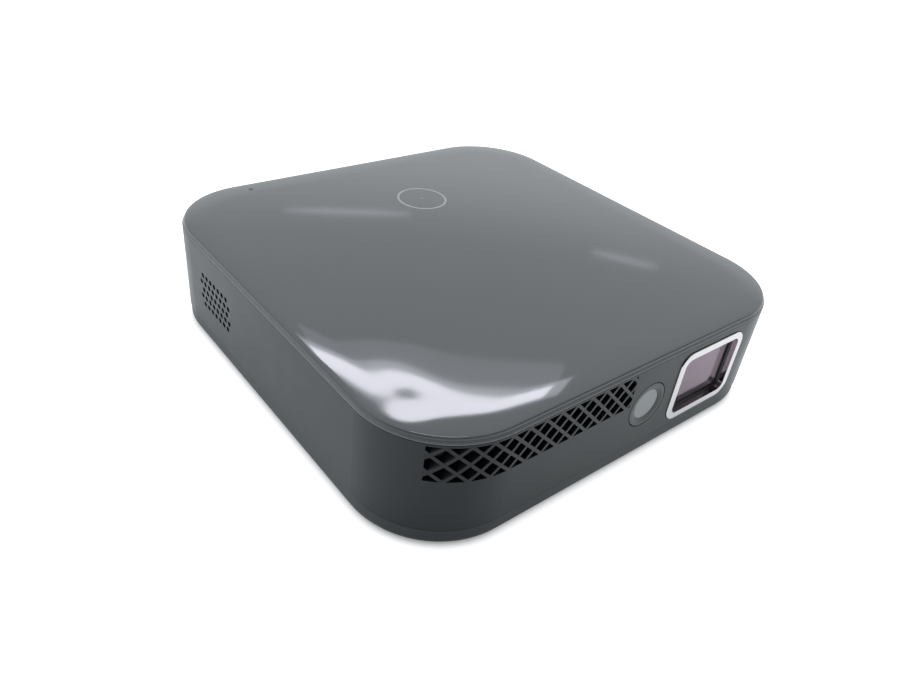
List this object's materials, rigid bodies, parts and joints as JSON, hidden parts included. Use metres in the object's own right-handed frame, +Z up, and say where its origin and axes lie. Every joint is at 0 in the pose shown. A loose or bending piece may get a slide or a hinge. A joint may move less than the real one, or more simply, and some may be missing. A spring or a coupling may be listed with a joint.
{
  "type": "palm-size projector",
  "caption": "Square low projector with rounded corners, a flat glossy lid, a wrap-round diamond grille, a framed window in front and a focus wheel at the side.",
  "frame": {"origin": "middle of the footprint, on the surface that the feet stand on", "axes": "+Z up, the projection window faces -Y, the speaker holes face -X"},
  "size_m": [0.1461, 0.1466, 0.035],
  "materials": {
    "lid_gloss": "glossy",
    "case_satin": "satin",
    "base_dark": "matt",
    "inner_black": "matt",
    "trim_metal": "satin",
    "bright_metal": "polished",
    "steel": "satin",
    "alloy": "satin",
    "copper_tone": "satin",
    "brass": "satin",
    "pad": "matt",
    "coated_glass": "polished",
    "clear_glass": "polished",
    "mark": "glossy",
    "pale_window": "satin",
    "gear_plastic": "satin",
    "circuit_board": "satin",
    "chip_black": "matt",
    "cell_wrap": "satin",
    "foam": "matt",
    "coated_mirror": "polished"
  },
  "bodies": {
    "case": {"bottom_cover": "base_dark", "feet": "pad", "tripod_bush": "brass", "cover_screws": "steel", "housing": "case_satin", "front_grille": "case_satin", "trim_ring": "trim_metal", "top_cover": "lid_gloss", "touch_ring": "mark", "touch_dot": "mark", "touch_board": "circuit_board", "status_light": "mark", "window_frame": "bright_metal", "window_glass": "coated_glass", "light_baffle": "inner_black", "sensor_bezel": "case_satin", "sensor_window": "pale_window", "sensor_board": "circuit_board", "speaker_gasket": "foam", "speaker_frame": "inner_black", "speaker_cone": "inner_black", "speaker_magnet": "steel", "blower_housing": "inner_black", "blower_lid": "inner_black", "rotor_clip": "steel", "heatsink": "alloy", "heat_pipe": "copper_tone", "engine_housing": "alloy", "engine_lid": "alloy", "prism": "clear_glass", "mirror_chip": "chip_black", "chip_board": "circuit_board", "fold_mirror": "coated_mirror", "led_modules": "chip_black", "heat_spreader": "copper_tone", "lens_sleeve": "inner_black", "retaining_ring": "steel", "gear_bracket": "steel", "gear_pins": "steel", "main_board": "circuit_board", "board_screws": "steel", "processor_shield": "steel", "chips": "chip_black", "usb_socket": "steel", "hdmi_socket": "steel", "audio_jack": "inner_black", "dc_jack": "inner_black", "card_socket": "steel", "switch_body": "inner_black", "battery_pack": "cell_wrap", "radio_antenna": "circuit_board"},
    "rotor": {"blower_rotor": "inner_black"},
    "wheel": {"focus_wheel": "base_dark"},
    "idler": {"idler_gear": "gear_plastic"},
    "ring": {"focus_ring": "gear_plastic"},
    "lens": {"lens_cell": "inner_black", "front_lens": "clear_glass", "rear_lens": "clear_glass"},
    "switch": {"switch_slider": "base_dark"}
  },
  "joints": [
    {"name": "fan_spin", "type": "hinge", "parent": "case", "child": "rotor", "pos_m": [-0.0365, -0.025, 0.021], "axis": [0, 0, 1], "continuous": true},
    {"name": "focus_wheel_turn", "type": "hinge", "parent": "case", "child": "wheel", "pos_m": [0.0613, -0.0425, 0.01928], "axis": [0, -1, 0], "range_deg": [-125, 125]},
    {"name": "idler_turn", "type": "hinge", "parent": "case", "child": "idler", "pos_m": [0.0485, -0.0425, 0.01928], "axis": [0, -1, 0], "range_deg": [-125, 125]},
    {"name": "focus_ring_turn", "type": "hinge", "parent": "case", "child": "ring", "pos_m": [0.0309, -0.0425, 0.01928], "axis": [0, -1, 0], "range_deg": [-72, 72]},
    {"name": "lens_slide", "type": "slide", "parent": "case", "child": "lens", "axis": [0, -1, 0], "range_m": [-0.00114, 0.00114]},
    {"name": "power_switch_slide", "type": "slide", "parent": "case", "child": "switch", "axis": [1, 0, 0], "range_m": [0, 0.003]}
  ],
  "couplings": [
    {"joint": "focus_wheel_turn", "follows": "lens_slide", "rad_per_m": 1832.6},
    {"joint": "idler_turn", "follows": "lens_slide", "rad_per_m": -1832.6},
    {"joint": "focus_ring_turn", "follows": "lens_slide", "rad_per_m": 1047.2}
  ]
}
